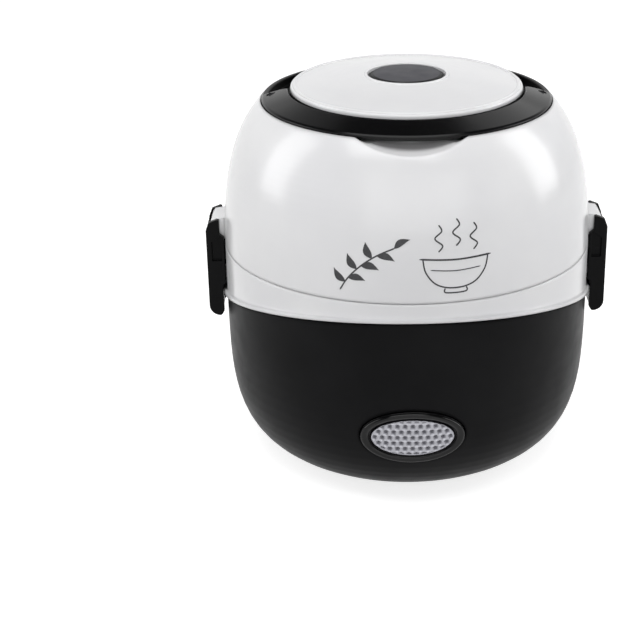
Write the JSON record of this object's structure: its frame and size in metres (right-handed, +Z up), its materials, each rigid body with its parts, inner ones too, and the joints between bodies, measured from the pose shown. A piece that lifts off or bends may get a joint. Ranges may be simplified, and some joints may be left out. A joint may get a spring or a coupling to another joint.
{
  "type": "electric lunch box",
  "caption": "Round electric lunch box with a domed lift-off lid held by side clips, a folding top handle, a vent cap, a front button and a steel bowl with inner lid and measuring cup.",
  "frame": {"origin": "on the table under the middle of the body, at the bottom of the feet", "axes": "+Z up, -Y towards the front with the button, +X towards the right clip as seen from the front, +Y towards the mains inlet"},
  "size_m": [0.1842, 0.1708, 0.1793],
  "materials": {
    "black_casing": "satin moulded",
    "white_casing": "gloss moulded",
    "gloss_black": "gloss moulded",
    "grey_cap": "satin moulded",
    "white_liner": "satin moulded",
    "silicone": "moulded silicone",
    "feet_rubber": "moulded",
    "polished_steel": "polished",
    "pin_steel": "drawn",
    "screw_steel": "zinc plated",
    "strap_steel": "stamped",
    "aluminium_sheet": "satin",
    "aluminium_cast": "machined",
    "inlet_black": "moulded",
    "phenolic": "moulded phenolic",
    "fuse_ceramic": "glazed ceramic",
    "plated_brass": "nickel plated",
    "wire_insulation": "extruded silicone",
    "silver_lens": "metallised, patterned",
    "circuit_board": "solder masked",
    "led_lens": "clear epoxy",
    "clear_plastic": "clear moulded",
    "frosted_plastic": "translucent moulded"
  },
  "bodies": {
    "base": {"base_shell": "black_casing", "base_collar": "white_casing", "heating_well": "aluminium_sheet", "well_gasket": "silicone", "heat_spreader": "aluminium_cast", "heating_element": "aluminium_cast", "element_bracket": "strap_steel", "bracket_screws": "screw_steel", "thermostat": "phenolic", "thermal_fuse": "fuse_ceramic", "fuse_clip": "strap_steel", "bottom_cover": "black_casing", "cover_screws": "screw_steel", "rubber_feet": "feet_rubber", "inlet_body": "inlet_black", "inlet_blades": "plated_brass", "internal_wiring": "wire_insulation", "button_bezel": "gloss_black", "switch_board": "circuit_board", "push_switch": "phenolic", "indicator_leds": "led_lens", "board_screws": "screw_steel"},
    "button": {"button_lens": "silver_lens"},
    "bowl": {"steel_bowl": "polished_steel"},
    "cup": {"measuring_cup": "clear_plastic"},
    "inner_lid": {"bowl_lid": "frosted_plastic"},
    "lid": {"lid_shell": "white_casing", "lid_liner": "white_liner", "lid_seal": "silicone", "lid_centre": "white_casing", "handle_ring": "gloss_black", "handle_pins": "pin_steel", "clip_pins": "pin_steel"},
    "handle": {"carry_handle": "gloss_black"},
    "vent": {"vent_cap": "grey_cap"},
    "left_clip": {"clip_left": "gloss_black"},
    "right_clip": {"clip_right": "gloss_black"}
  },
  "joints": [
    {"name": "bowl_lift", "type": "slide", "parent": "base", "child": "bowl", "axis": [0, 0, 1], "range_m": [0, 0.15]},
    {"name": "cup_lift", "type": "slide", "parent": "bowl", "child": "cup", "axis": [0, 0, 1], "range_m": [0, 0.042]},
    {"name": "inner_lid_lift", "type": "slide", "parent": "bowl", "child": "inner_lid", "axis": [0, 0, 1], "range_m": [0, 0.075]},
    {"name": "lid_lift", "type": "slide", "parent": "inner_lid", "child": "lid", "axis": [0, 0, 1], "range_m": [0, 0.15]},
    {"name": "left_clip_hinge", "type": "hinge", "parent": "lid", "child": "left_clip", "pos_m": [-0.0883, 0, 0.1115], "axis": [0, 1, 0], "range_deg": [0, 85]},
    {"name": "right_clip_hinge", "type": "hinge", "parent": "lid", "child": "right_clip", "pos_m": [0.0883, 0, 0.1115], "axis": [0, -1, 0], "range_deg": [0, 85]},
    {"name": "handle_hinge", "type": "hinge", "parent": "lid", "child": "handle", "pos_m": [0, -0.0028, 0.16962], "axis": [-1, 0, 0], "range_deg": [0, 90]},
    {"name": "vent_lift", "type": "slide", "parent": "lid", "child": "vent", "axis": [0, 0, 1], "range_m": [0, 0.008]},
    {"name": "button_press", "type": "slide", "parent": "base", "child": "button", "axis": [0, 1, 0], "range_m": [0, 0.0015], "stiffness_N_per_m": 800, "springref_m": -0.0005}
  ]
}
